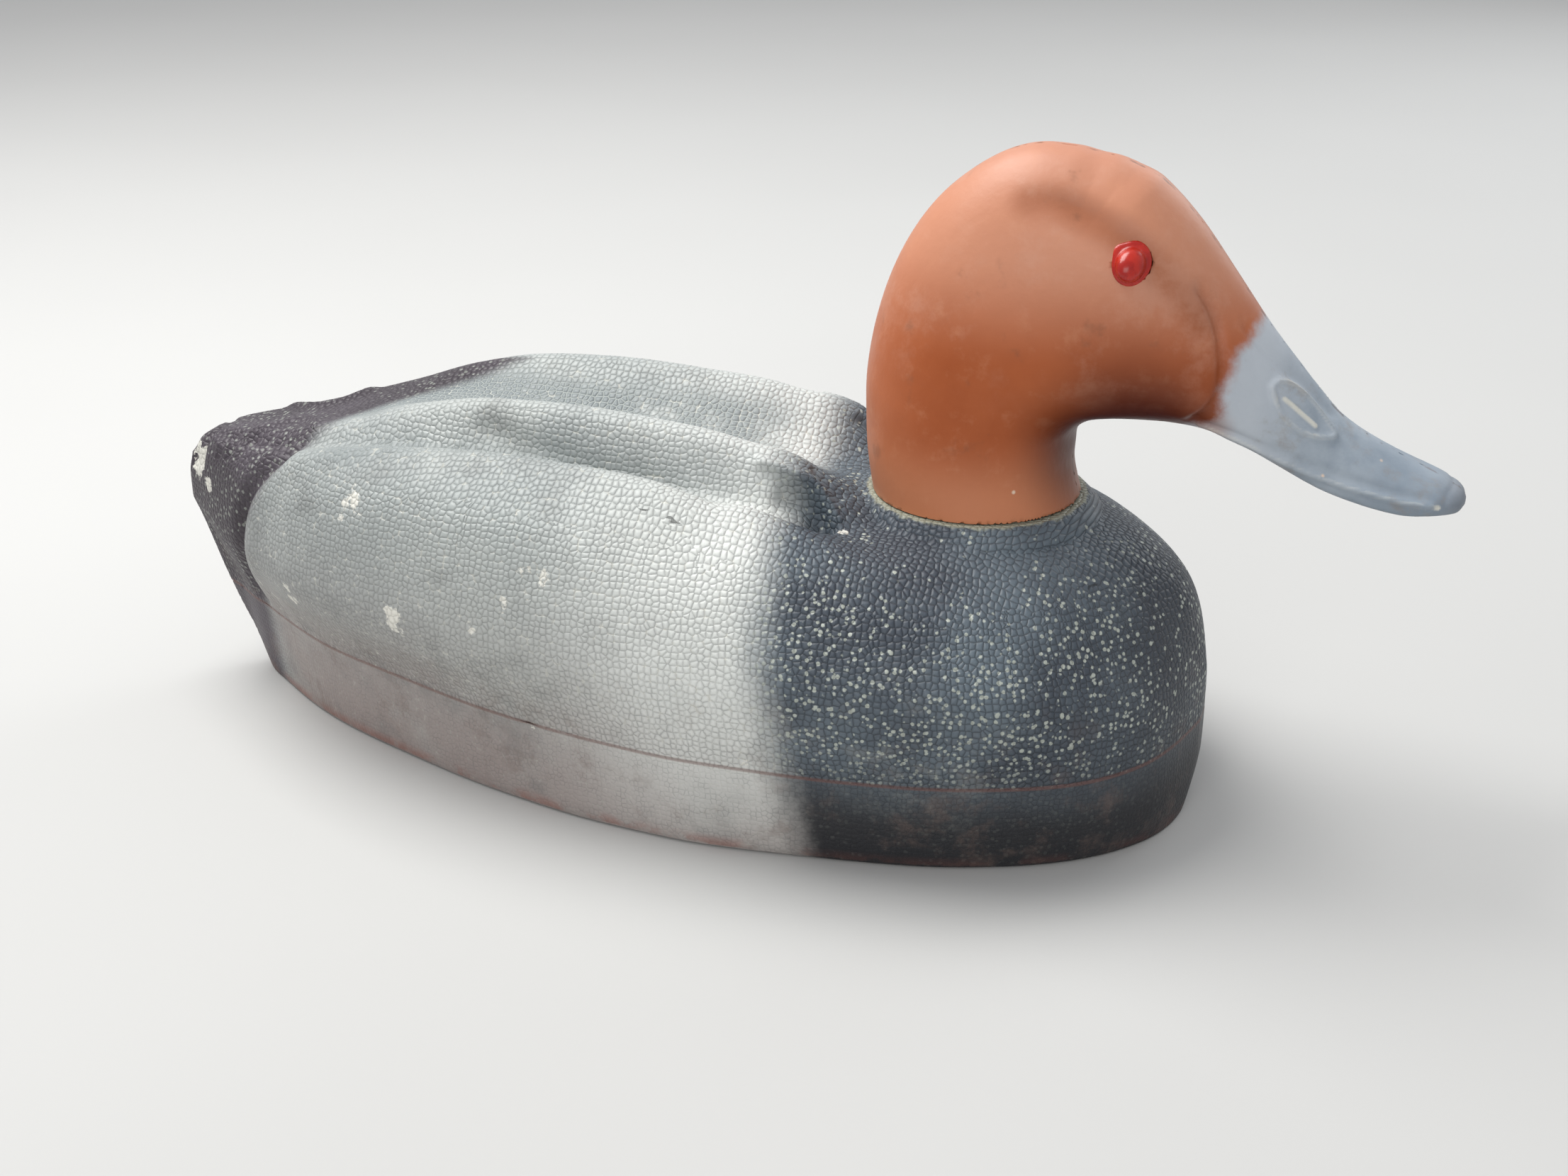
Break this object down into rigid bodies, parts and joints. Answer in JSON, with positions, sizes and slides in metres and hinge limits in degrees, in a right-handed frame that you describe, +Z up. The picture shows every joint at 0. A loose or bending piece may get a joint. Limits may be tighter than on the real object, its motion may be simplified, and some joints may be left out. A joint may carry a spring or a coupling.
{
  "type": "floating duck decoy",
  "caption": "Floating duck decoy: flat-bottomed bead-foam body with a hollow swivelling head on a bolt, bottom ballast and a recessed anchor-line crossbar.",
  "frame": {"origin": "centre of the whole decoy's bounding box in plan, on the flat bottom that it stands on", "axes": "+X is the way the duck faces, from tail to bill; +Z is up; +Y is the duck's left"},
  "size_m": [0.392, 0.156, 0.1898],
  "materials": {
    "painted_foam": "matte",
    "painted_plastic": "satin",
    "eye_plastic": "gloss",
    "black_plastic": "matte",
    "rubber": "matte",
    "zinc_steel": "satin",
    "ballast_iron": "matte",
    "wood": "matte"
  },
  "bodies": {
    "hull": {"body_upper": "painted_foam", "body_lower": "painted_foam", "alignment_dowels": "wood", "neck_seat": "black_plastic", "friction_washer": "rubber", "bolt_sleeve": "black_plastic", "clamp_plate": "zinc_steel", "ballast_bar": "ballast_iron", "ballast_cover": "wood", "cover_screws": "zinc_steel", "screw_anchors": "black_plastic", "line_cup": "black_plastic", "line_crossbar": "zinc_steel"},
    "head": {"head_left": "painted_plastic", "head_right": "painted_plastic", "eye_left": "eye_plastic", "eye_right": "eye_plastic", "neck_plug": "black_plastic", "head_bolt": "zinc_steel"},
    "washers": {"plain_washer": "zinc_steel", "lock_washer": "zinc_steel"},
    "nut": {"wing_nut": "zinc_steel"}
  },
  "joints": [
    {"name": "head_swivel", "type": "hinge", "parent": "hull", "child": "head", "pos_m": [0.063, 0, 0.0898], "axis": [0, 0, 1], "range_deg": [-130, 130]},
    {"name": "nut_travel", "type": "slide", "parent": "head", "child": "washers", "axis": [0, 0, -1], "range_m": [0, 0.003]},
    {"name": "nut_turn", "type": "hinge", "parent": "washers", "child": "nut", "pos_m": [0.063, 0, 0.0125], "axis": [0, 0, -1], "range_deg": [0, 1080]}
  ],
  "couplings": [
    {"joint": "nut_turn", "follows": "nut_travel", "rad_per_m": 6283.2}
  ]
}
